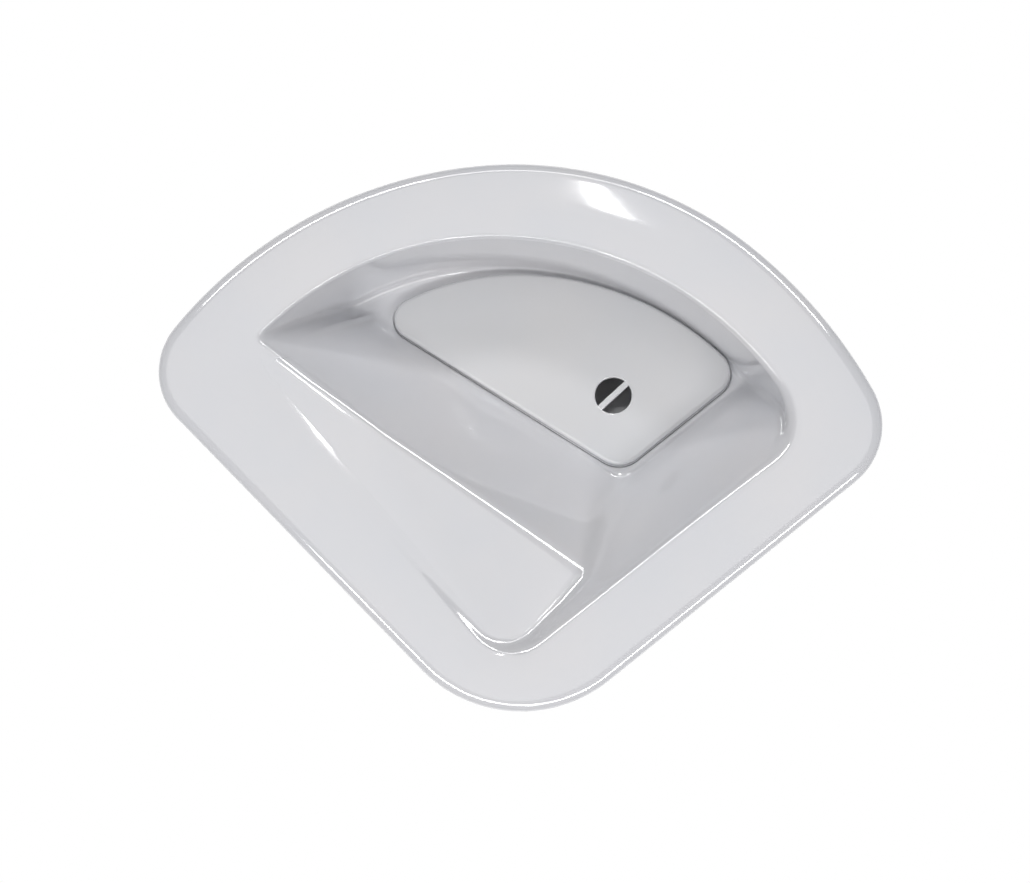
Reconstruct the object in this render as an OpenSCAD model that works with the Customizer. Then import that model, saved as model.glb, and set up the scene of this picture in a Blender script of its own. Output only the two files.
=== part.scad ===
// Fan-shaped pour-in dispenser cup: a moulded basin with a broad rim, a two-slope
// pouring ramp, a drain sump and spout, and a snap-in sump cover with one slotted hole.
// Millimetres. +X runs along the straight front side, +Y to the curved back, +Z up.
// The origin is on the rim's seating edge, at the middle of the straight front side.

/* [Rim outline] */
// radius of the front left corner
rim_r_front_left = 43.3; // [36:0.1:50]
// radius of the front right corner
rim_r_front_right = 23.3; // [18:0.1:30]
// radius of the rear left corner
rim_r_rear_left = 22.3; // [18:0.1:30]
// radius of the curved back next to the front right corner
rim_r_back_a = 156.1; // [130:0.1:180]
// radius of the middle of the curved back
rim_r_back_b = 118.6; // [100:0.1:140]
// radius of the curved back next to the rear left corner
rim_r_back_c = 137.2; // [120:0.1:160]
// height of the lip's seating edge below the rim's widest line
lip_drop = 3; // [2:0.1:6]
// height of the rim's crown above its widest line
crown = 2.7; // [1.5:0.1:4]

/* [Basin] */
// wall thickness of the moulding
wall = 2.2; // [1.8:0.1:3]
// depth of the basin floor below the rim's widest line
floor_depth = 31.5; // [26:0.5:40]
// steepness of the curved back wall, drop over run
back_steep = 27; // [15:1:40]
// steepness of the front wall, drop over run
front_steep = 1.22; // [1:0.01:1.5]
// steepness of the short step at the left side
left_steep = 1.5; // [1:0.1:3]
// fall of the shallow ramp
ramp_fall = 0.25; // [0.15:0.01:0.35]
// fall of the steep ramp at its front end
ramp_steep = 0.725; // [0.65:0.005:0.85]

/* [Sump and spout] */
// depth of the ledge that the cover rests on
ledge_depth = 34; // [33:0.1:38]
// depth of the sump floor at its edge
sump_edge_depth = 45; // [42:0.5:52]
// depth of the sump floor at the drain
sump_depth = 48; // [45:0.5:56]
// centre of the drain, across
drain_x = 98; // [90:0.5:106]
// centre of the drain, to the back
drain_y = 94; // [85:0.5:100]
// inside radius of the spout
spout_bore_r = 6; // [4:0.1:7]
// outside radius of the spout
spout_r = 8.5; // [7:0.1:10]
// depth of the spout's end
spout_end = 66; // [60:0.5:80]

/* [Sump cover] */
// depth of the cover's top below the rim's widest line
cover_depth = 28; // [26:0.5:30]
// thickness of the cover
cover_t = 2; // [1.6:0.1:3]
// radius of the cover's rounded edge
cover_edge_r = 1.3; // [0.8:0.1:1.8]
// radius of the hole
hole_r = 6; // [5:0.1:7]
// width of the bar across the hole
bar_w = 2; // [1.5:0.1:3]
// turn of the bar from the front side
bar_turn = 4; // [0:0.5:8]
// centre of the hole, across
hole_x = 98.6; // [94:0.1:104]
// centre of the hole, to the back
hole_y = 72.4; // [68:0.1:78]
// gap round the cover
cover_gap = 0.3; // [0.2:0.05:0.5]

/* [Hidden] */
// middle of the seating edge at the front side
ox = 87.5;
oy = 1.1;
oz = -lip_drop;
// points in each stretch of an outline: corner, four arcs of the back, corner, left side, corner, front side
PN = [10, 4, 12, 5, 6, 10, 12, 8, 12];

function u(a) = [cos(a), sin(a)];
// where arc j of a chain of tangent arcs starts, for radii r and normal angles a
function chain(r, a, j) = j == 0 ? [0, 0] : chain(r, a, j - 1) + r[j-1]*(u(a[j]) - u(a[j-1]));
// An outline of tangent arcs and two straight sides, as [point, normal angle, stretch, place in the stretch].
// v = [corner x, corner y, r front left, radii from the front right corner round the back, their normal angles]
function outline(v) =
  let (r = v[3], a = v[4], m = len(r), q = chain(r, a, m), f = a[m],
       d = u(f + 90), e = v[2]*(u(270) - u(f)),
       ll = -(q[1] + e[1])/d[1], lf = -(q[0] + ll*d[0] + e[0]),
       p6 = q + ll*d, c6 = p6 - v[2]*u(f), p7 = p6 + e,
       s = [v[0], v[1]] - (q - (q[1]/d[1])*d))
  concat(
    [for (j = [0:m-1]) let (c = s + chain(r, a, j) - r[j]*u(a[j])) for (i = [0:PN[j]-1])
      let (t = i/PN[j], w = a[j] + (a[j+1] - a[j])*t) [c + r[j]*u(w), w, j, t]],
    [for (i = [0:PN[6]-1]) let (t = i/PN[6]) [s + q + ll*t*d, f, 6, t]],
    [for (i = [0:PN[7]-1]) let (t = i/PN[7], w = f + (270 - f)*t) [s + c6 + v[2]*u(w), w, 7, t]],
    [for (i = [0:PN[8]-1]) let (t = i/PN[8]) [s + p7 + [lf*t, 0], 270, 8, t]]);

rim = outline([0, 0, rim_r_front_left,
               [rim_r_front_right, rim_r_back_a, rim_r_back_b, rim_r_back_c, rim_r_back_c, rim_r_rear_left],
               [-90, -10.9, 10.3, 55.8, 78, 103.2, 186.2]]);
mouth = outline([16.9, 21.9, 15.1, [18.8, 108.3, 108.3, 99.4, 99.4, 9.4], [-90, -4.4, 12, 56.4, 78, 98.5, 182.6]]);
cap = outline([84.8, 51.3, 9.6, [8, 99, 99, 80.4, 7, 7], [-90, 7, 18, 50.5, 77.9, 98.5, 198.8]]);
N = len(rim);

function out(p, d) = p[0] + d*u(p[1]);
// how steep the wall below the mouth is at section i
function steep(i) =
  let (k = mouth[i][2], t = mouth[i][3])
  k < 5 ? back_steep
  : k == 5 ? back_steep + (left_steep - back_steep)*pow(t, 0.5)
  : k == 6 ? left_steep
  : k == 7 ? left_steep + (front_steep - left_steep)*t
  : front_steep;
// the two ramps, the front wall and the floor, each moved down square to itself by t
function ramp_a(p, t) = 1.5 - ramp_fall*(p[0] - 24) - 0.031*(112 - p[1]) - t*sqrt(1 + pow(ramp_fall, 2));
function ramp_b(p, t) = -floor_depth + (94.8 - 0.947*p[0] - 0.322*p[1])*(ramp_steep + 0.0043*(p[1] - 40))
                        - t*sqrt(1 + pow(ramp_steep, 2));
function front(p, t) = 1.5 - front_steep*(p[1] - 21.9) - t*sqrt(1 + pow(front_steep, 2));
function side(i, in, t) = 1.5 - steep(i)*in - t*sqrt(1 + pow(steep(i), 2));
function basin(i, in, p, t) = min(1.5 - t, max(-floor_depth - t, side(i, in, t), front(p, t), min(ramp_a(p, t), ramp_b(p, t))));
// where a section crosses the ridge between the ramps
function ridge_s(p) = 0.956*p[0] + 0.292*p[1] - 61.2;
function cross_t(a, b) = ridge_s(a) < -2 && ridge_s(b) > 2 ? ridge_s(a)/(ridge_s(a) - ridge_s(b)) : 0.45;
function mix(a, b, t) = a + (b - a)*t;
function v3(p, z) = [p[0] - ox, p[1] - oy, z - oz];
function drain_a(i) = atan2(cap[i][0][1] - drain_y, cap[i][0][0] - drain_x);
function drain_p(i, r) = [drain_x, drain_y] + r*u(drain_a(i));

function top_rings() = let (
    inn = function(i) out(mouth[i], -2.4), edge = function(i) out(cap[i], cover_gap + 0.02)) [
  for (q = [[0, -lip_drop], [0, -0.4], [0.35, 0.6], [1.1, 1.4], [2.6, 2.0], [5.5, 2.45]])
    [for (i = [0:N-1]) v3(out(rim[i], -q[0]), q[1])],
  [for (i = [0:N-1]) v3(mix(rim[i][0], mouth[i][0], 0.5), crown)],
  [for (i = [0:N-1]) v3(out(mouth[i], 3), 2.3)],
  [for (i = [0:N-1]) v3(out(mouth[i], 1), 1.8)],
  for (q = [0, 0.6, 1.24]) [for (i = [0:N-1]) v3(out(mouth[i], -q), basin(i, q, out(mouth[i], -q), 0))],
  for (k = [0, 0.5, 1]) [for (i = [0:N-1])
    let (a = out(mouth[i], -1.5), b = out(cap[i], cover_gap + 0.05), c = mix(a, b, cross_t(a, b)*(k == 0 ? 0.08 : k)))
    v3(c, basin(i, 99, c, 0))],
  for (k = [0.5, 0.93]) [for (i = [0:N-1])
    let (a = out(mouth[i], -1.5), b = out(cap[i], cover_gap + 0.05), c = mix(mix(a, b, cross_t(a, b)), b, k))
    v3(c, basin(i, 99, c, 0))],
  [for (i = [0:N-1]) v3(out(cap[i], cover_gap), -floor_depth)],
  [for (i = [0:N-1]) v3(out(cap[i], cover_gap), -ledge_depth)],
  [for (i = [0:N-1]) v3(out(cap[i], -3), -ledge_depth)],
  [for (i = [0:N-1]) v3(out(cap[i], -4), -sump_edge_depth)],
  [for (i = [0:N-1]) v3(drain_p(i, 11), -sump_depth)],
  [for (i = [0:N-1]) v3(drain_p(i, 7.2), -sump_depth)]
];
function under_rings() = [
  [for (i = [0:N-1]) v3(drain_p(i, 7.2), -sump_depth - wall)],
  [for (i = [0:N-1]) v3(drain_p(i, 11), -sump_depth - wall)],
  [for (i = [0:N-1]) v3(out(cap[i], -1.9), -sump_edge_depth - wall)],
  [for (i = [0:N-1]) v3(out(cap[i], -0.9), -ledge_depth - wall)],
  [for (i = [0:N-1]) v3(out(cap[i], cover_gap + wall - 0.2), -ledge_depth - wall)],
  [for (i = [0:N-1]) let (c = out(cap[i], cover_gap + wall)) v3(c, max(-ledge_depth - wall + 0.2, basin(i, 99, c, wall)))],
  for (k = [0.5, 1]) [for (i = [0:N-1])
    let (a = out(mouth[i], 0.5), b = out(cap[i], cover_gap + wall + 0.1), c = mix(b, mix(a, b, cross_t(a, b)), k))
    v3(c, basin(i, 99, c, wall))],
  [for (i = [0:N-1]) let (a = out(mouth[i], 0.5), b = out(cap[i], cover_gap + wall + 0.1), c = mix(a, b, cross_t(a, b)*0.5))
    v3(c, basin(i, 99, c, wall))],
  for (q = [-0.7, -0.98, -1.5, -2.15, -3.2]) [for (i = [0:N-1]) let (c = out(mouth[i], -q)) v3(c, basin(i, q, c, wall))],
  [for (i = [0:N-1]) v3(mix(rim[i][0], mouth[i][0], 0.5), crown - wall)],
  [for (i = [0:N-1]) v3(out(rim[i], -5.5), 2.45 - wall)],
  [for (i = [0:N-1]) v3(out(rim[i], -wall - 0.6), -0.8)],
  [for (i = [0:N-1]) v3(out(rim[i], -wall), -lip_drop)]
];

// closed ring of rings: each ring's points joined to the next ring's, and the last ring's to the first's
module ring_solid(rings) {
  m = len(rings);
  polyhedron(
    points = [for (r = rings) for (p = r) p],
    faces = [for (k = [0:m-1]) for (i = [0:N-1])
      let (a = k*N + i, b = k*N + (i+1)%N, c = ((k+1)%m)*N + (i+1)%N, d = ((k+1)%m)*N + i)
      each [[a, c, b], [a, d, c]]],
    convexity = 10);
}

module cup() color([0.86, 0.86, 0.87]) {
  difference() {
    union() {
      ring_solid(concat(top_rings(), under_rings()));
      // drain spout
      translate(v3([drain_x, drain_y], -spout_end)) cylinder(r = spout_r, h = spout_end - sump_depth - 0.6, $fn = 72);
      // snap hooks below the rim: two at the front, one at the left, two at the curved back
      for (h = [[1/12, 8], [10/12, 8], [0.5, 6], [0.5, 1], [0.6, 3]]) hook(h);
    }
    translate(v3([drain_x, drain_y], -spout_end - 1)) cylinder(r = spout_bore_r, h = spout_end - sump_depth + 4, $fn = 72);
  }
}

// one hook: a leg that hangs from the rim's underside clear of the basin wall, with a catch on its outer side
module hook(h) {
  f = [for (i = [0:N-1]) if (mouth[i][2] == h[1] && abs(mouth[i][3] - h[0]) < 0.02) i];
  if (len(f) > 0) {
    i = f[0];
    translate(v3(out(mouth[i], 6), -14)) rotate([0, 0, mouth[i][1]]) translate([0, 5, 0]) rotate([90, 0, 0])
      linear_extrude(height = 10)
        polygon([[-1, 0], [0.6, 0], [2.6, 3.2], [2.6, 4], [1, 5.2], [1, 14.8], [-1, 14.8]]);
  }
}

module cover() color([0.88, 0.88, 0.88]) {
  difference() {
    cover_blank();
    // hollow below the plate
    translate(v3([0, 0], -ledge_depth - 1)) linear_extrude(height = ledge_depth + 1 - cover_depth - cover_t)
      polygon([for (p = cap) out(p, -1.8)]);
    translate(v3([hole_x, hole_y], -cover_depth - 5)) cylinder(r = hole_r, h = 10, $fn = 72);
  }
  // bar across the hole
  translate(v3([hole_x, hole_y], -cover_depth - cover_t)) rotate([0, 0, bar_turn])
    translate([-hole_r - 0.5, -bar_w/2, 0]) cube([2*hole_r + 1, bar_w, cover_t - 0.2]);
  // four pegs that steady the cover on the sump floor
  for (p = [[74, 124], [90, 62], [124, 62], [109.5, 101.5]])
    translate(v3(p, -sump_edge_depth + 0.4)) cylinder(r = 1.8, h = sump_edge_depth - 0.4 - cover_depth - cover_t + 0.5, $fn = 36);
}

module cover_blank() {
  r = cover_edge_r;
  rings = [[0, -ledge_depth + 0.05], [0, -cover_depth - r], for (a = [18:18:90]) [r*(1 - cos(a)), -cover_depth - r*(1 - sin(a))]];
  m = len(rings);
  polyhedron(
    points = [for (q = rings) for (p = cap) v3(out(p, -q[0]), q[1])],
    faces = concat(
      [[for (i = [0:N-1]) (i + 24)%N]],
      [for (k = [0:m-2]) for (i = [0:N-1]) each [[k*N + i, (k+1)*N + i, (k+1)*N + (i+1)%N], [k*N + i, (k+1)*N + (i+1)%N, k*N + (i+1)%N]]],
      [[for (i = [N-1:-1:0]) (m-1)*N + (i + 24)%N]]),
    convexity = 4);
}

cup();
cover();
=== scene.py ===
import math

import bmesh
import bpy
import numpy as np
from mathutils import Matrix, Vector


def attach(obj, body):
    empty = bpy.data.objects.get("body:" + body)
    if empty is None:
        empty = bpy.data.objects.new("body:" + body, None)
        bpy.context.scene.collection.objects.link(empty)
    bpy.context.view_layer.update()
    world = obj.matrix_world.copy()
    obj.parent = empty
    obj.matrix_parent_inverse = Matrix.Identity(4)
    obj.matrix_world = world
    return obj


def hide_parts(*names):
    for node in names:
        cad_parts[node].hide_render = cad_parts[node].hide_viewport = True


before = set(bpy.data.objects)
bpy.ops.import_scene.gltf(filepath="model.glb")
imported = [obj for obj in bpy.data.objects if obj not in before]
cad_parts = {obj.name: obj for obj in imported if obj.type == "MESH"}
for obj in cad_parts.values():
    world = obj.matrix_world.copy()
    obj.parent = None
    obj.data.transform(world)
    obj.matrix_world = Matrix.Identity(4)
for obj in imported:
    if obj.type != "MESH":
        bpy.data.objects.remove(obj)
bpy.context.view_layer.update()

# ---------------------------------------------------------------- measures, in millimetres
OX, OY, OZ = 87.5, 1.1, -3.0          # the frame's origin in drawing coordinates
FLOOR = -31.5                         # basin floor
COVER_Z = -28.0                       # top of the sump cover
LEDGE = -34.0
SUMP_EDGE, SUMP = -45.0, -48.0
DRAIN = np.array([98.0, 94.0])
HOLE = np.array([98.6, 72.4])
T = 2.2                               # wall


def u(a):
    r = np.radians(a)
    return np.array([np.cos(r), np.sin(r)])


def outline(v, n, t_ext=None):
    """Tangent arcs and two straight sides. Returns points, outward normals, stretch numbers and places in the stretch."""
    x0, y0, rfl, rfr, R, rrl, tb, phi = v
    p = np.zeros(2)
    pts, ang, st, pl = [], [], [], []
    segs = [(rfr, -90.0, tb[0])] + [(R[i], tb[i], tb[i + 1]) for i in range(4)] + [(rrl, tb[4], phi)]
    for k, (r, a0, a1) in enumerate(segs):
        c = p - r * u(a0)
        t = np.arange(n[k]) / n[k]
        a = a0 + (a1 - a0) * t
        pts.append(c + r * np.c_[np.cos(np.radians(a)), np.sin(np.radians(a))])
        ang.append(a); st.append(np.full(n[k], k)); pl.append(t)
        p = c + r * u(a1)
    p5 = p
    d = u(phi + 90)
    e = rfl * (u(270) - u(phi))
    ll = -(p5[1] + e[1]) / d[1]
    lf = -(p5[0] + ll * d[0] + e[0])
    t = np.arange(n[6]) / n[6]
    pts.append(p5 + ll * t[:, None] * d); ang.append(np.full(n[6], phi)); st.append(np.full(n[6], 6)); pl.append(t)
    p6 = p5 + ll * d
    c6 = p6 - rfl * u(phi)
    t = np.arange(n[7]) / n[7]
    a = phi + (270 - phi) * t
    pts.append(c6 + rfl * np.c_[np.cos(np.radians(a)), np.sin(np.radians(a))])
    ang.append(a); st.append(np.full(n[7], 7)); pl.append(t)
    p7 = p6 + e
    t = np.arange(n[8]) / n[8]
    pts.append(p7 + np.c_[lf * t, 0 * t]); ang.append(np.full(n[8], 270.0)); st.append(np.full(n[8], 8)); pl.append(t)
    s = np.array([x0, y0]) - (p5 - (p5[1] / d[1]) * d)
    ang = np.concatenate(ang)
    nrm = np.c_[np.cos(np.radians(ang)), np.sin(np.radians(ang))]
    return np.vstack(pts) + s, nrm, np.concatenate(st), np.concatenate(pl)


NS = [62, 26, 76, 40, 40, 62, 68, 56, 66]      # points in each stretch
RIM = (0, 0, 43.3, 23.3, (156.1, 118.6, 137.2, 137.2), 22.3, (-10.9, 10.3, 55.8, 78.0, 103.2), 186.2)
MOUTH = (16.9, 21.9, 15.1, 18.8, (108.3, 108.3, 99.4, 99.4), 9.4, (-4.4, 12.0, 56.4, 78.0, 98.5), 182.6)
CAP = (84.8, 51.3, 9.6, 8.0, (99.0, 99.0, 80.4, 7.0), 7.0, (7.0, 18.0, 50.5, 77.9, 98.5), 198.8)
rim, rim_n, rim_st, rim_pl = outline(RIM, NS)
mouth, mouth_n, st, pl = outline(MOUTH, NS)
cap, cap_n, _, _ = outline(CAP, NS)
N = len(rim)


def ramp_blend(values, points):
    """A value for every section: given at (stretch, place) knots, joined smoothly round the outline."""
    pos = st + pl
    xs = [k for k, _ in points]
    ys = [y for _, y in points]
    xs = [xs[-1] - 9] + xs + [xs[0] + 9]
    ys = [ys[-1]] + ys + [ys[0]]
    return np.interp(pos, xs, ys)


# steepness of the wall below the mouth, and how far the mouth's edge is rounded, for each section
STEEP = ramp_blend(None, [(0.0, 27), (5.0, 27), (5.5, 8), (6.0, 2.4), (6.5, 2.4), (7.0, 1.9), (7.6, 1.3), (7.95, 1.22),
                          (8.1, 1.6), (8.3, 4), (8.5, 27), (8.999, 27)])
WALL_K = ramp_blend(None, [(0.0, 2.6), (5.0, 2.6), (5.6, 2.6), (6.0, 3.0), (6.25, 2.4), (6.45, 1.0), (7.0, 1.2), (7.6, 2.6), (8.999, 2.6)])
RIM_K = ramp_blend(None, [(0.0, 4.0), (0.5, 5.5), (1.0, 3.0), (1.6, 2.0), (3.0, 1.6), (5.0, 1.4), (5.55, 1.6), (5.9, 2.4), (6.1, 3.5), (6.3, 3.0), (6.45, 1.5),
                          (7.0, 1.6), (8.0, 1.8), (8.6, 2.0), (8.999, 3.6)])


def smax(a, b, k):
    h = np.maximum(k - np.abs(a - b), 0.0)
    return np.maximum(a, b) + h * h / (4 * k)


def smin(a, b, k):
    return -smax(-a, -b, k)


def nearest(p, ring=None):
    """Signed distance inside the mouth or another ring, and the nearest section, for points in plan."""
    ring = mouth if ring is None else ring
    d = np.empty(len(p)); idx = np.empty(len(p), int); tt = np.empty(len(p))
    q2 = np.roll(ring, -1, 0); e = q2 - ring; L2 = (e ** 2).sum(1)
    for a in range(0, len(p), 4000):
        s = p[a:a + 4000]
        w = s[:, None] - ring[None]
        t = np.clip((w * e[None]).sum(2) / L2[None], 0, 1)
        r = w - t[..., None] * e[None]
        dd = (r ** 2).sum(2)
        j = dd.argmin(1)
        i = np.arange(len(s))
        nn = np.c_[e[j, 1], -e[j, 0]] / np.sqrt(L2[j])[:, None]
        sg = np.where((w[i, j] * nn).sum(1) > 0, -1.0, 1.0)
        d[a:a + 4000] = sg * np.sqrt(dd[i, j]); idx[a:a + 4000] = j; tt[a:a + 4000] = t[i, j]
    return d, idx, tt


def flange_z(dm, width):
    """Top of the rim: gently crowned, rolled over at its outer edge."""
    x = dm / width * 22.5
    do = width - dm
    crown = 1.6 + 1.1 * (1 - ((np.clip(x, -3, 30) - 10) / 12) ** 2)
    roll = np.sqrt(np.clip(1 - (1 - np.clip(do / 3.6, 0, 1)) ** 2, 0, 1))
    return crown * roll


def field(x, y, z, ins, steep, wallk, rimk, fz, off):
    """Above the surface it is positive, and close to a distance in mm. off moves the surface down square to itself."""
    A = 1.5 - 0.25 * (x - 24) - 0.031 * (112 - y)
    dA = (z - A) / math.sqrt(1 + 0.25 ** 2)
    gB = 0.725 + 0.0043 * (y - 40)
    B = FLOOR + (94.8 - 0.947 * x - 0.322 * y) * gB
    dB = (z - B) / np.sqrt(1 + gB ** 2)
    dR = smax(dA, dB, 0.9)
    C = 1.5 - 1.22 * (y - 21.9)
    dC = (z - C) / math.sqrt(1 + 1.22 ** 2)
    W = 1.5 - steep * ins
    dW = (z - W) / np.sqrt(1 + steep ** 2)
    dF = z - FLOOR
    c = smin(dR, dC, 3.0)
    c = smin(c, dF, 1.0 + 2.5 * np.clip((y - 75) / 35, 0, 1))
    c = smin(c, dW, wallk)
    dT = z - fz
    return smax(dT, c, rimk) + off


def solve(p, ins, steep, wallk, rimk, fz, off):
    lo = np.full(len(p), -60.0); hi = np.full(len(p), 8.0)
    for _ in range(44):
        m = 0.5 * (lo + hi)
        f = field(p[:, 0], p[:, 1], m, ins, steep, wallk, rimk, fz, off)
        up = f > 0
        hi = np.where(up, m, hi); lo = np.where(up, lo, m)
    return 0.5 * (lo + hi)


def smooth_wrap(a, w):
    k = np.hanning(2 * w + 3)[1:-1]; k /= k.sum()
    return np.convolve(np.r_[a[-w:], a, a[:w]], k, "valid")


STEEP_S = np.exp(smooth_wrap(np.log(STEEP), 5))
WALL_KS = smooth_wrap(WALL_K, 10)
RIM_KS = smooth_wrap(RIM_K, 16)
WIDTH = np.linalg.norm(rim - mouth, axis=1)


def surface(rows, off, ins_rows=None, dm_rows=None, square=False):
    """Heights for rings of plan points, and the surface's own normals if square is set."""
    P = np.vstack(rows)
    d, j, tj = nearest(P)

    def at(a):
        return a[j] * (1 - tj) + a[(j + 1) % N] * tj
    if dm_rows is not None:
        dm = np.concatenate(dm_rows)
    else:
        dm = -d
    sec = np.tile(np.arange(N), len(rows))
    fz = flange_z(np.maximum(dm, -4), WIDTH[sec])
    z = solve(P, d, at(STEEP_S), at(WALL_KS), at(RIM_KS), fz, off)
    if not square:
        return z.reshape(len(rows), N)

    def f(dx, dy, dz):
        Q = P + [dx, dy]
        d2, j2, t2 = nearest(Q) if dx or dy else (d, j, tj)

        def at2(a):
            return a[j2] * (1 - t2) + a[(j2 + 1) % N] * t2
        fz2 = flange_z(np.maximum(dm - (d2 - d), -4), WIDTH[sec])
        return field(Q[:, 0], Q[:, 1], z + dz, d2, at2(STEEP_S), at2(WALL_KS), at2(RIM_KS), fz2, off)
    e = 0.04
    g = np.c_[f(e, 0, 0) - f(-e, 0, 0), f(0, e, 0) - f(0, -e, 0), f(0, 0, e) - f(0, 0, -e)]
    g /= np.linalg.norm(g, axis=1)[:, None] + 1e-12
    return z.reshape(len(rows), N), g.reshape(len(rows), N, 3)


# the sump's outline again, its points shared out to stand opposite the mouth's where the two run close
gap, near_i, near_t = nearest(mouth, cap)
cap_s = np.r_[0, np.cumsum(np.linalg.norm(np.roll(cap, -1, 0) - cap, axis=1))]
own_s = cap_s[:-1]
turn = (cap_s[near_i] * (1 - near_t) + cap_s[near_i + 1] * near_t - own_s + cap_s[-1] / 2) % cap_s[-1] - cap_s[-1] / 2
opposite = smooth_wrap(ramp_blend(None, [(0.0, 0.6), (0.6, 1.0), (3.0, 1.0), (3.9, 0.0), (8.0, 0.0), (8.999, 0.6)]), 6)
new_s = own_s + smooth_wrap(turn * opposite, 3)
steps = np.maximum(np.diff(np.r_[new_s, new_s[0] + cap_s[-1]]), 0.04)
steps *= cap_s[-1] / steps.sum()
new_s = (new_s[0] + np.r_[0, np.cumsum(steps[:-1])]) % cap_s[-1]


def share(a):
    """Values of the sump's outline at the shared-out places."""
    return np.stack([np.interp(new_s, cap_s, np.r_[a[:, k], a[:1, k]]) for k in (0, 1)], 1)


lip_of = share(cap)
lip_n = share(cap_n)
lip_n /= np.linalg.norm(lip_n, axis=1)[:, None]
E = lip_of + 0.3 * lip_n              # edge of the sump's mouth
idx = np.arange(N)
rings = []                            # every ring: (N, 3)


def add(p, z):
    z = np.broadcast_to(z, (N,)) if np.ndim(z) == 0 else z
    rings.append(np.c_[p, z])


# lip, from its inner seating edge out and up
lip = [(-2.0, -3.0), (-0.25, -3.0), (-0.07, -2.93), (0.0, -2.75), (0.0, -2.0), (0.0, -1.0), (0.0, -0.4)]
for q, z in lip:
    add(rim + q * rim_n, z)
# rolled outer edge and crown: rings a set way in from the outline
rows, dms = [], []
for do in [0.0, 0.03, 0.1, 0.2, 0.36, 0.56, 0.8, 1.1, 1.45, 1.85, 2.3, 2.8, 3.3, 3.9, 4.6, 5.6]:
    rows.append(rim - do * rim_n); dms.append(WIDTH - do)
a_in, b_in = rim - 5.6 * rim_n, mouth + 5.0 * mouth_n
for t in [0.1, 0.22, 0.36, 0.5, 0.64, 0.78, 0.9]:
    rows.append(a_in + (b_in - a_in) * t); dms.append((WIDTH - 5.6) * (1 - t) + 5.0 * t)
for q in [5.0, 4.1, 3.4, 2.8, 2.3, 1.9, 1.55, 1.25, 1.0, 0.8, 0.62, 0.46, 0.32, 0.2, 0.1]:
    rows.append(mouth + q * mouth_n); dms.append(np.full(N, q))
# wall: steps for the steep curved back and for the gentler front and left sides, mixed at the corners
qa = np.array([0.0, 0.015, 0.03, 0.05, 0.075, 0.1, 0.13, 0.17, 0.22, 0.28, 0.35, 0.43, 0.51, 0.6, 0.69, 0.78, 0.87, 0.95, 1.02, 1.08, 1.13, 1.18, 1.25, 1.35, 1.6, 2.0, 2.6, 3.4])
qf = np.array([0.0, 0.12, 0.25, 0.4, 0.56, 0.74, 0.94, 1.16, 1.4, 1.66, 1.95, 2.25, 2.6, 3.0, 3.4, 3.85, 4.3, 4.8, 5.3, 5.8, 6.3, 6.9, 7.5, 8.0, 8.2, 8.4, 8.6, 8.8])
wf = ramp_blend(None, [(0.0, 1.0), (0.35, 0.0), (5.0, 0.0), (5.9, 0.6), (6.1, 1.0), (8.999, 1.0)])
wf = smooth_wrap(wf, 6)
room = -nearest(mouth, E)[0] - 0.25   # the wall's rings stay outside the sump's mouth
for k in range(len(qa)):
    q = np.minimum(qa[k] * (1 - wf) + qf[k] * wf, room - 0.03 * (len(qa) - 1 - k))
    rows.append(mouth - q[:, None] * mouth_n); dms.append(-q)
start = rows[-1]
# basin floor and ramps, with rings drawn together at the ridge and at the foot


far = ramp_blend(None, [(0.0, 0.6), (0.4, 1.0), (3.0, 1.0), (4.6, 0.0), (8.5, 0.0), (8.999, 0.6)])


def ridge_at(p, q, beyond):
    """Where the line from p to q crosses the ridge between the ramps, as a part of its length."""
    def h(t):
        c = p + (q - p) * t[:, None]
        return (1.5 - 0.25 * (c[:, 0] - 24) - 0.031 * (112 - c[:, 1])
                - FLOOR - (94.8 - 0.947 * c[:, 0] - 0.322 * c[:, 1]) * (0.725 + 0.0043 * (c[:, 1] - 40)))
    lo, hi = np.zeros(N), np.ones(N)
    crosses = (h(lo) < 0) & (h(hi) > 0)
    for _ in range(30):
        m = 0.5 * (lo + hi)
        left = h(m) < 0
        lo = np.where(left, m, lo); hi = np.where(left, hi, m)
    t = np.clip(np.where(crosses, lo, beyond), 0.02, 0.7)
    return smooth_wrap(t * (1 - far) + 0.5 * far, 1)


cross = ridge_at(start, E, 0.02)
L = np.linalg.norm(E - start, axis=1)
near = [-9, -4.5, -2.4, -1.4, -0.9, -0.6, -0.4, -0.25, -0.12, 0.0, 0.12, 0.25, 0.4, 0.6, 0.9, 1.4, 2.4, 4.5, 9]
foot = [9.0, 6.5, 4.8, 3.6, 2.9, 2.4, 2.1, 1.85, 1.6, 1.35, 1.1, 0.8, 0.5, 0.25]
fr = []
for t in (0.25, 0.5, 0.75):
    fr.append(cross * t)
for w in near:
    fr.append(cross + np.clip(w / np.maximum(L, 1e-3), -0.22 * cross * abs(w) / 9 * 4, 0.22 * (1 - cross) * abs(w) / 9 * 4) if w else cross)
for w in foot:
    fr.append(1 - np.minimum(w / np.maximum(L, 1e-3), 0.3 * (1 - cross) * w / 9 * 3))
fr = np.sort(np.array(fr), axis=0)
for t in fr:
    rows.append(start + (E - start) * t[:, None]); dms.append(np.full(N, -20.0))
zz, own = surface(rows, 0.0, dm_rows=dms, square=True)
for p, z in zip(rows, zz):
    add(p, z)
n_field = (len(lip), len(rings))
EDGE_R = 0.7
for k in range(-10, 0):
    g = rings[k]
    w = np.linalg.norm(g[:, :2] - E, axis=1)
    g[:, 2] -= EDGE_R - np.sqrt(np.clip(EDGE_R ** 2 - np.clip(EDGE_R - w, 0, None) ** 2, 0, None))
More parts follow.
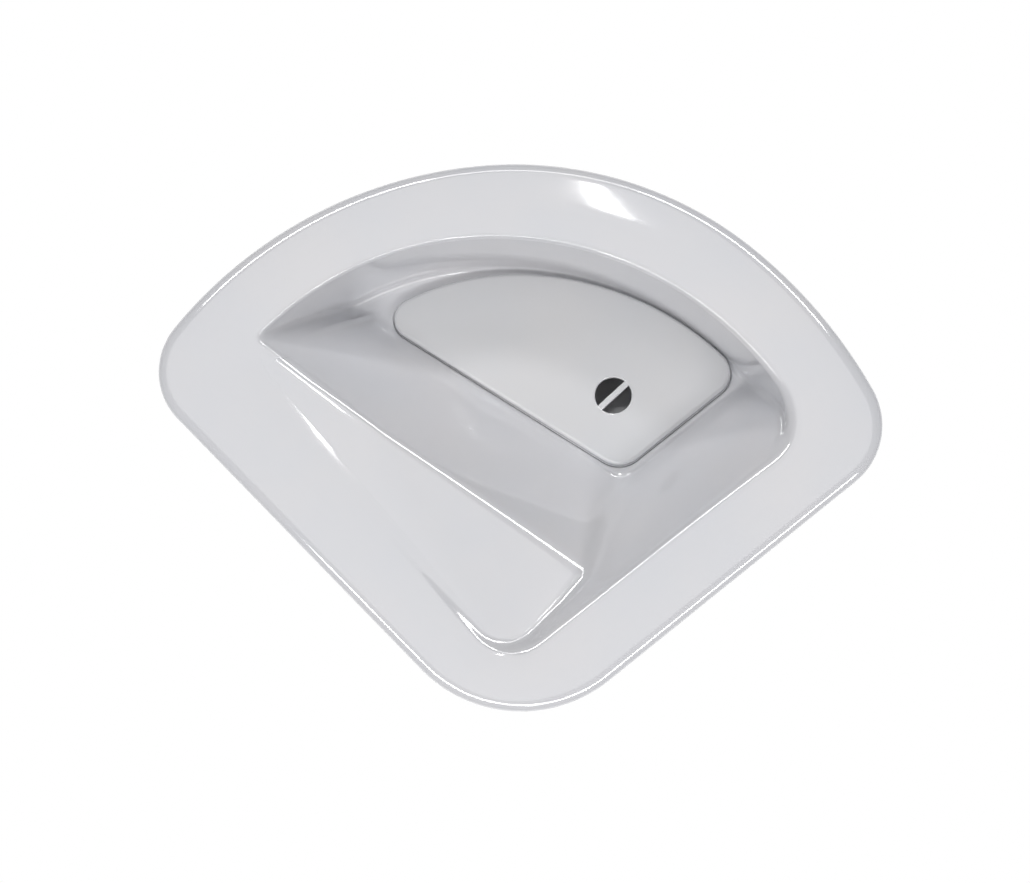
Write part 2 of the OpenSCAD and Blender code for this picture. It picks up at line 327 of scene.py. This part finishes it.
# sump mouth, ledge, sump, drain
zE = zz[-1]
add(E - 0.001 * lip_n, zE - 0.9)
add(E - 0.001 * lip_n, LEDGE + 0.2)
add(E - 0.2 * lip_n, LEDGE)
add(lip_of - 2.7 * lip_n, LEDGE)
add(lip_of - 2.95 * lip_n, LEDGE - 0.07)
add(lip_of - 3.05 * lip_n, LEDGE - 0.3)
for t in (0.25, 0.5, 0.75):
    add(lip_of - (3.05 + 0.9 * t) * lip_n, LEDGE - 0.3 + (SUMP_EDGE + 1.2 - LEDGE + 0.3) * t)
for a in (0, 22, 45, 68, 90):
    r = math.radians(a)
    add(lip_of - (4.0 + 1.2 * (1 - math.cos(r))) * lip_n, SUMP_EDGE + 1.2 - 1.2 * math.sin(r))
ang = np.unwrap(np.arctan2(lip_of[:, 1] - DRAIN[1], lip_of[:, 0] - DRAIN[0]))
cir = np.c_[np.cos(ang), np.sin(ang)]
inner = lip_of - 5.2 * lip_n
for t in (0.25, 0.5, 0.75):
    add(inner + (DRAIN + 11 * cir - inner) * t, SUMP_EDGE + (SUMP - SUMP_EDGE) * t)
for r, z in [(11, SUMP), (8, SUMP - 0.05), (6.9, SUMP - 0.1), (6.5, SUMP - 0.2), (6.2, SUMP - 0.45), (6.03, SUMP - 0.85), (6.0, SUMP - 1.5), (6.0, -57.0),
             (6.0, -65.2), (6.06, -65.6), (6.25, -65.88), (6.5, -66.0), (8.0, -66.0), (8.25, -65.92), (8.44, -65.7), (8.5, -65.4), (8.5, -58.0), (8.5, -52.2),
             (8.58, -51.5), (8.85, -50.9), (9.3, -50.45), (10.0, -50.22), (11.5, -50.2)]:
    add(DRAIN + r * cir, z)
# underside of the sump and of the ledge
under_in = lip_of - 3.2 * lip_n
for t in (0.3, 0.6):
    add(DRAIN + 11.5 * cir + (under_in - DRAIN - 11.5 * cir) * t, -50.2 + 3.0 * t)
for a in (90, 65, 40, 15, 0):
    r = math.radians(a)
    add(lip_of - (1.9 + 1.3 * (1 - math.cos(r))) * lip_n, SUMP_EDGE - T + 1.3 - 1.3 * math.sin(r))
add(lip_of - 1.1 * lip_n, LEDGE - T - 0.6)
add(lip_of - 0.9 * lip_n, LEDGE - T - 0.12)
add(lip_of - 0.6 * lip_n, LEDGE - T)
edge_o = lip_of + 2.5 * lip_n
add(lip_of + 2.1 * lip_n, LEDGE - T)
add(lip_of + 2.4 * lip_n, LEDGE - T + 0.1)
# underside of the basin, wall and rim: the same surface moved down by the wall
rows, dms = [], []
ledge_out = 0.2 + nearest(mouth, edge_o)[0]   # and below they stay outside the ledge
start_u = mouth + np.maximum(-0.4 * (1 - wf) - 3.2 * wf, ledge_out)[:, None] * mouth_n
Lu = np.linalg.norm(edge_o - start_u, axis=1)
cr_u = np.clip(ridge_at(start_u, edge_o, 0.5), 0.12, 0.7)
for t in (1.0, 0.9, 0.75, 0.5, 0.25, 0.08):
    rows.append(start_u + (edge_o - start_u) * (cr_u + (1 - cr_u) * t)[:, None]); dms.append(np.full(N, -20.0))
for t in (1.0, 0.92, 0.7, 0.4, 0.0):
    rows.append(start_u + (edge_o - start_u) * (cr_u * t)[:, None]); dms.append(np.full(N, -20.0))
ua = np.array([0.1, 0.45, 0.7, 0.85, 0.98, 1.1, 1.25, 1.5, 1.75, 1.95, 2.1, 2.25, 2.5, 3.0, 4.0, 5.5])
uf = np.array([-2.4, -1.8, -1.2, -0.7, -0.2, 0.2, 0.6, 1.0, 1.35, 1.7, 2.05, 2.4, 2.8, 3.4, 4.3, 5.8])
for k in range(len(ua)):
    q = np.maximum(ua[k] * (1 - wf) + uf[k] * wf, ledge_out + 0.04 * (k + 1))
    rows.append(mouth + q[:, None] * mouth_n); dms.append(q)
a_in, b_in = mouth + 5.8 * mouth_n, rim - 4.4 * rim_n
for t in (0.25, 0.5, 0.75, 1.0):
    rows.append(a_in + (b_in - a_in) * t); dms.append(5.8 * (1 - t) + (WIDTH - 4.4) * t)
zu = surface(rows, T, dm_rows=dms)
first_under = len(rings)
lim = LEDGE - T + 0.2
for k, (p, z) in enumerate(zip(rows, zu)):
    add(p, np.maximum(z, lim) if k == 0 else z)
add(rim - 3.4 * rim_n, -0.55)
add(rim - 2.8 * rim_n, -0.9)
add(rim - 2.4 * rim_n, -1.4)
add(rim - 2.2 * rim_n, -2.1)
add(rim - 2.2 * rim_n, -2.8)

G = np.array(rings)                   # (K, N, 3) closed both ways
K = len(G)
print("cup rings", K, "sections", N, "triangles", 2 * K * N)


def tangent(P, axis):
    a, b = np.roll(P, 1, axis), np.roll(P, -1, axis)
    h0 = np.linalg.norm(P - a, axis=2, keepdims=True) + 1e-9
    h1 = np.linalg.norm(b - P, axis=2, keepdims=True) + 1e-9
    return ((b - P) / h1) * (h0 / (h0 + h1)) + ((P - a) / h0) * (h1 / (h0 + h1))


nrm = np.cross(tangent(G, 1), tangent(G, 0))
nrm /= np.linalg.norm(nrm, axis=2, keepdims=True) + 1e-12


def to_m(P):
    P = np.asarray(P, float).reshape(-1, 3)
    return (P - [OX, OY, OZ]) / 1000.0


def mesh_object(name, verts, faces, normals=None):
    me = bpy.data.meshes.new(name)
    me.from_pydata([tuple(v) for v in verts], [], faces)
    me.update()
    me.polygons.foreach_set("use_smooth", [True] * len(me.polygons))
    if normals is not None:
        me.normals_split_custom_set_from_vertices([tuple(n) for n in normals])
    me.update()
    o = bpy.data.objects.new(name, me)
    bpy.context.collection.objects.link(o)
    return o


def grid_faces(K, N):
    k, i = np.meshgrid(np.arange(K), np.arange(N), indexing="ij")
    a = k * N + i; b = k * N + (i + 1) % N; c = ((k + 1) % K) * N + (i + 1) % N; d = ((k + 1) % K) * N + i
    return np.stack([a, b, c, d], -1).reshape(-1, 4)


F = grid_faces(K, N)
V = to_m(G)
# outward faces: the lid of the rim must look up
kk = n_field[0] + 18
test = nrm[kk, 0, 2]
if test < 0:
    nrm = -nrm
    F = F[:, ::-1]
# check the winding against the normals
f0 = F[(n_field[0] + 18) * N]
w = np.cross(V[f0[1]] - V[f0[0]], V[f0[2]] - V[f0[1]])
if w[2] < 0:
    F = F[:, ::-1]
# on the smooth field its own slope gives the normals, away from the rolled edges
nrm[n_field[0] + 16:n_field[1] - 11] = own[16:len(own) - 11]
cup = mesh_object("cup_shell", V, F.tolist(), nrm.reshape(-1, 3))


# ---------------------------------------------------------------- sump cover
def cover_rings():
    out = []
    r = 1.3
    S, n = cap, cap_n
    h = np.unwrap(np.arctan2(S[:, 1] - HOLE[1], S[:, 0] - HOLE[0]))
    ci = np.c_[np.cos(h), np.sin(h)]

    def put(p, z):
        out.append(np.c_[p, np.full(N, z)])
    zb = LEDGE + 0.05
    put(S - 1.7 * n, zb)
    put(S + 0.05 * n, zb)
    put(S + 0.2 * n, zb + 0.06)
    put(S + 0.25 * n, zb + 0.2)
    put(S + 0.25 * n, FLOOR - 0.35)
    # small bead where the skirt meets the basin floor
    for q_, z_ in ((0.23, -0.22), (0.18, -0.12), (0.11, -0.02), (0.05, 0.1), (0.015, 0.24), (0.0, 0.45)):
        put(S + q_ * n, FLOOR + z_)
    for a in np.linspace(0, 90, 15):
        t = math.radians(a)
        put(S - r * (1 - math.cos(t)) * n, COVER_Z - r * (1 - math.sin(t)))
    put(S - (r + 0.15) * n, COVER_Z)
    put(S - (r + 0.8) * n, COVER_Z)
    a, b = S - (r + 0.8) * n, HOLE + 8.0 * ci
    for t in (0.2, 0.4, 0.6, 0.8, 1.0):
        put(a + (b - a) * t, COVER_Z)
    put(HOLE + 6.7 * ci, COVER_Z)
    for ang_ in np.linspace(90, 0, 9):
        t = math.radians(ang_)
        put(HOLE + (6.0 + 0.45 * (1 - math.cos(t))) * ci, COVER_Z - 0.45 * (1 - math.sin(t)))
    put(HOLE + 6.0 * ci, COVER_Z - 1.7)
    put(HOLE + 6.1 * ci, COVER_Z - 1.95)
    put(HOLE + 6.3 * ci, COVER_Z - 2.0)
    a, b = HOLE + 6.3 * ci, S - 2.1 * n
    for t in (0.33, 0.66, 1.0):
        put(a + (b - a) * t, COVER_Z - 2.0)
    put(S - 1.85 * n, COVER_Z - 2.1)
    put(S - 1.8 * n, COVER_Z - 2.4)
    put(S - 1.8 * n, zb + 0.2)
    return np.array(out)


CG = cover_rings()
CF = grid_faces(len(CG), N)
CV = to_m(CG)
cn = np.cross(tangent(CG, 1), tangent(CG, 0))
cn /= np.linalg.norm(cn, axis=2, keepdims=True) + 1e-12
mid = 30
if cn[mid, 0, 2] < 0:
    cn = -cn
f0 = CF[mid * N]
w = np.cross(CV[f0[1]] - CV[f0[0]], CV[f0[2]] - CV[f0[1]])
if w[2] < 0:
    CF = CF[:, ::-1]
cover = mesh_object("cover_shell", CV, CF.tolist())


def rounded_bar(name, centre, length, width, z0, z1, turn, bev):
    """A bar with rounded long edges, as a closed mesh."""
    w, hgt = width / 2, (z1 - z0)
    prof = []
    for cx, cz, a0 in ((w - bev, z1 - bev, 0), (-w + bev, z1 - bev, 90), (-w + bev, z0 + bev, 180), (w - bev, z0 + bev, 270)):
        for a in np.linspace(a0, a0 + 90, 7):
            t = math.radians(a)
            prof.append((cx + bev * math.cos(t), cz + bev * math.sin(t)))
    prof = np.array(prof)
    M = len(prof)
    d, s = u(turn), u(turn + 90)
    vs, fs = [], []
    xs = np.linspace(-length / 2, length / 2, 9)
    for x in xs:
        for a, z in prof:
            q = centre + d * x + s * a
            vs.append((q[0], q[1], z))
    for i in range(len(xs) - 1):
        for j in range(M):
            a = i * M + j; b = i * M + (j + 1) % M
            fs.append((a, a + M, b + M, b))
    fs.append(tuple(range(M)))
    fs.append(tuple(range((len(xs) - 1) * M + M - 1, (len(xs) - 1) * M - 1, -1)))
    return mesh_object(name, to_m(vs), fs)


def join_union(target, tool):
    m = target.modifiers.new("join", "BOOLEAN")
    m.operation = "UNION"; m.solver = "EXACT"; m.object = tool
    dg = bpy.context.evaluated_depsgraph_get()
    me = bpy.data.meshes.new_from_object(target.evaluated_get(dg))
    target.modifiers.clear()
    old = target.data
    target.data = me
    bpy.data.meshes.remove(old)
    bpy.data.objects.remove(tool)


def cylinder(name, centre, r, z0, z1, n=36, bev=0.3):
    vs, fs = [], []
    prof = [(r - bev, z0), (r - 0.09, z0 + 0.09), (r, z0 + bev), (r, z1)]
    for rr, z in prof:
        for j in range(n):
            t = 2 * math.pi * j / n
            vs.append((centre[0] + rr * math.cos(t), centre[1] + rr * math.sin(t), z))
    for i in range(len(prof) - 1):
        for j in range(n):
            a = i * n + j; b = i * n + (j + 1) % n
            fs.append((a, b, b + n, a + n))
    fs.append(tuple(range(n - 1, -1, -1)))
    fs.append(tuple(range((len(prof) - 1) * n, len(prof) * n)))
    return mesh_object(name, to_m(vs), fs)


bar = rounded_bar("bar", HOLE, 12.9, 2.0, COVER_Z - 2.0, COVER_Z - 0.12, 4.0, 0.35)
join_union(cover, bar)
for p in ((74, 124), (90, 62), (124, 62), (109.5, 101.5)):
    join_union(cover, cylinder("peg", np.array(p, float), 1.8, SUMP_EDGE + 0.4, COVER_Z - 1.5))
for poly in cover.data.polygons:
    poly.use_smooth = True
if hasattr(cover.data, "set_sharp_from_angle"):
    cover.data.set_sharp_from_angle(angle=math.radians(35))


def hook(stretch, place, width=10.0):
    """A snap hook below the rim: a leg that hangs clear of the wall, with a catch on its outer side and eased edges."""
    i = int(np.argmin(np.where(st == stretch, np.abs(pl - place), 9)))
    c, n = mouth[i] + 6 * mouth_n[i], mouth_n[i]
    s = np.array([-n[1], n[0]])
    prof = np.array([(-1, 0), (0.6, 0), (2.6, 3.2), (2.6, 4.0), (1.0, 5.2), (1.0, 14.9), (-1.0, 14.9)], float)
    M = len(prof)
    prev, nxt = np.roll(prof, 1, 0), np.roll(prof, -1, 0)
    e0 = prof - prev; e0 /= np.linalg.norm(e0, axis=1)[:, None]
    e1 = nxt - prof; e1 /= np.linalg.norm(e1, axis=1)[:, None]
    fine = []
    for a, b, d0, d1 in zip(prof, nxt, e0, e1):
        if a[1] > 14:
            fine.append(a)
        else:
            q0, q1 = a - 0.25 * d0, a + 0.25 * d1
            fine += [tuple((1 - t) ** 2 * q0 + 2 * t * (1 - t) * a + t * t * q1) for t in (0, 0.25, 0.5, 0.75, 1)]
    fine = np.array(fine, float)
    mid_ = fine.mean(0)
    vs, fs = [], []
    steps = [(-width / 2, 0.3), (-width / 2 + 0.1, 0.1), (-width / 2 + 0.3, 0.0), (width / 2 - 0.3, 0.0), (width / 2 - 0.1, 0.1), (width / 2, 0.3)]
    for w_, in_ in steps:
        f = fine.copy()
        f[:, 0] -= np.sign(f[:, 0]) * in_
        f[:, 1] += np.where(f[:, 1] < 0.2, in_, 0)
        for a, z in f:
            q = c + n * a + s * w_
            vs.append((q[0], q[1], -14 + z))
    M = len(fine)
    for k_ in range(len(steps) - 1):
        for j_ in range(M):
            a = k_ * M + j_; b = k_ * M + (j_ + 1) % M
            fs.append((a, b, b + M, a + M))
    fs.append(tuple(range(M - 1, -1, -1)))
    fs.append(tuple(range((len(steps) - 1) * M, len(steps) * M)))
    return vs, fs


hv, hf = [], []
for stretch, place in ((8, 1 / 12), (8, 10 / 12), (6, 0.5), (1, 0.5), (3, 0.6)):
    vs, fs = hook(stretch, place)
    hf += [tuple(v + len(hv) for v in f) for f in fs]
    hv += vs
hooks = mesh_object("cup_hooks", to_m(hv), hf)
if hasattr(hooks.data, "set_sharp_from_angle"):
    hooks.data.set_sharp_from_angle(angle=math.radians(35))
bm = bmesh.new(); bm.from_mesh(hooks.data); bmesh.ops.recalc_face_normals(bm, faces=bm.faces); bm.to_mesh(hooks.data); bm.free()

# ---------------------------------------------------------------- materials
def plastic(name, base, rough, bump, seed):
    m = bpy.data.materials.new(name)
    m.use_nodes = True
    nt = m.node_tree
    b = nt.nodes["Principled BSDF"]
    b.inputs["IOR"].default_value = 1.53
    b.inputs["Specular IOR Level"].default_value = 1.0
    b.inputs["Coat Weight"].default_value = 0.5
    b.inputs["Coat IOR"].default_value = 1.5
    b.inputs["Coat Roughness"].default_value = 0.04
    b.inputs["Subsurface Weight"].default_value = 0.0
    tc = nt.nodes.new("ShaderNodeTexCoord")
    mp = nt.nodes.new("ShaderNodeMapping")
    mp.inputs["Location"].default_value = (seed, seed * 0.37, 0)
    nt.links.new(tc.outputs["Object"], mp.inputs["Vector"])
    # faint cloudy tone in the moulding
    n1 = nt.nodes.new("ShaderNodeTexNoise"); n1.inputs["Scale"].default_value = 26; n1.inputs["Detail"].default_value = 3
    nt.links.new(mp.outputs[0], n1.inputs["Vector"])
    cr = nt.nodes.new("ShaderNodeValToRGB")
    cr.color_ramp.elements[0].position = 0.35; cr.color_ramp.elements[1].position = 0.68
    cr.color_ramp.elements[0].color = (base[0] * 0.975, base[1] * 0.98, base[2] * 0.995, 1)
    cr.color_ramp.elements[1].color = (base[0] * 1.01, base[1] * 1.0, base[2] * 1.0, 1)
    nt.links.new(n1.outputs[0], cr.inputs[0])
    nt.links.new(cr.outputs[0], b.inputs["Base Color"])
    # roughness varies a little with handling
    n2 = nt.nodes.new("ShaderNodeTexNoise"); n2.inputs["Scale"].default_value = 60; n2.inputs["Detail"].default_value = 5
    nt.links.new(mp.outputs[0], n2.inputs["Vector"])
    mr = nt.nodes.new("ShaderNodeMapRange")
    mr.inputs["To Min"].default_value = rough * 0.85; mr.inputs["To Max"].default_value = rough * 1.25
    nt.links.new(n2.outputs[0], mr.inputs["Value"])
    nt.links.new(mr.outputs[0], b.inputs["Roughness"])
    # slight waviness of a moulded surface, and a very fine grain
    n3 = nt.nodes.new("ShaderNodeTexNoise"); n3.inputs["Scale"].default_value = 85; n3.inputs["Detail"].default_value = 2
    nt.links.new(mp.outputs[0], n3.inputs["Vector"])
    n4 = nt.nodes.new("ShaderNodeTexNoise"); n4.inputs["Scale"].default_value = 1500; n4.inputs["Detail"].default_value = 2
    nt.links.new(mp.outputs[0], n4.inputs["Vector"])
    b1 = nt.nodes.new("ShaderNodeBump"); b1.inputs["Strength"].default_value = bump; b1.inputs["Distance"].default_value = 0.0006
    b2 = nt.nodes.new("ShaderNodeBump"); b2.inputs["Strength"].default_value = 0.02; b2.inputs["Distance"].default_value = 0.0001
    nt.links.new(n3.outputs[0], b1.inputs["Height"])
    nt.links.new(n4.outputs[0], b2.inputs["Height"])
    nt.links.new(b1.outputs[0], b2.inputs["Normal"])
    nt.links.new(b2.outputs[0], b.inputs["Normal"])
    return m, b


cup_mat, cup_b = plastic("cup_plastic", (0.70, 0.702, 0.72), 0.07, 0.05, 3.1)
# the cover is the same white plastic as the cup; its darker base colour is painted shade, making the cover's top look
# dimmer
cover_mat, cover_b = plastic("cover_plastic", (0.60, 0.603, 0.612), 0.08, 0.04, 7.7)
cup.data.materials.clear(); cup.data.materials.append(cup_mat)
cover.data.materials.clear(); cover.data.materials.append(cover_mat)

hooks.data.materials.clear(); hooks.data.materials.append(cup_mat)
for o, node, slot in ((cup, "cup", "cup_plastic"), (hooks, "cup", "cup_plastic"), (cover, "cover", "cover_plastic")):
    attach(o, "root")
    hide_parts(node)

# ---------------------------------------------------------------- stage
bpy.ops.mesh.primitive_plane_add(size=6, location=(0, 0, -0.0632))
floor = bpy.context.object
floor.name = "floor"
fm = bpy.data.materials.new("floor")
fm.use_nodes = True
nt = fm.node_tree
nt.nodes.clear()
om = nt.nodes.new("ShaderNodeOutputMaterial")
em = nt.nodes.new("ShaderNodeEmission"); em.inputs["Strength"].default_value = 1.0; em.inputs["Color"].default_value = (1, 1, 1, 1)
nt.links.new(em.outputs[0], om.inputs[0])
floor.data.materials.append(fm)


def area(name, loc, target, size, power, size_y=None, color=(1, 1, 1)):
    l = bpy.data.lights.new(name, "AREA")
    l.energy = power
    l.color = color
    l.size = size
    if size_y:
        l.shape = "RECTANGLE"; l.size_y = size_y
    o = bpy.data.objects.new(name, l)
    o.location = loc
    o.rotation_euler = (Vector(target) - Vector(loc)).to_track_quat("-Z", "Y").to_euler()
    bpy.context.collection.objects.link(o)
    return o


CEN = (0, 0.085, 0)


def lamp(name, azimuth, zenith, dist, w, h, level, color=(1, 1, 1)):
    """A soft lamp seen from the cup in the given direction. level is its brightness against a white sheet's."""
    a, z = math.radians(azimuth), math.radians(zenith)
    d = Vector((math.cos(a) * math.sin(z), math.sin(a) * math.sin(z), math.cos(z)))
    return area(name, Vector(CEN) + d * dist, CEN, w, level * math.pi * w * h, h, color)


lamp("softbox", 90, 8, 1.3, 1.5, 1.5, 0.75)
for k, (azimuth, level) in enumerate(((20, 13), (52, 4), (84, 12), (189, 13), (217, 12), (245, 12), (273, 12))):
    lamp("window_%d" % k, azimuth, 51, 1.2, 0.56, 0.12, level * 0.93)
lamp("tube", 47, 27, 1.2, 0.03, 0.24, 24)

world = bpy.data.worlds.new("world")
bpy.context.scene.world = world
world.use_nodes = True
world.node_tree.nodes["Background"].inputs[0].default_value = (0.93, 0.95, 1.0, 1)
world.node_tree.nodes["Background"].inputs[1].default_value = 0.08

# ---------------------------------------------------------------- camera, from the photograph's outline
AZ, EL, ROLL, DIST = math.radians(-18.73), math.radians(80.0), math.radians(-20.0), 593.75
back = Vector((math.sin(AZ) * math.cos(EL), -math.cos(AZ) * math.cos(EL), math.sin(EL)))
right = Vector((math.cos(AZ), math.sin(AZ), 0))
up = back.cross(right)
right, up = right * math.cos(ROLL) + up * math.sin(ROLL), -right * math.sin(ROLL) + up * math.cos(ROLL)
cd = bpy.data.cameras.new("camera")
cam = bpy.data.objects.new("camera", cd)
bpy.context.collection.objects.link(cam)
cd.lens = 1900.0 / 1030.0 * 36.0
cd.sensor_width = 36.0
from mathutils import Matrix
rot = Matrix((right, up, back)).transposed()
pos = (Vector((62.39, 76.0, 0)) + back * DIST - Vector((OX, OY, OZ))) / 1000.0
cam.matrix_world = Matrix.Translation(pos) @ rot.to_4x4()
cd.clip_start = 0.01
bpy.context.scene.camera = cam
bpy.context.scene.view_settings.view_transform = "Standard"
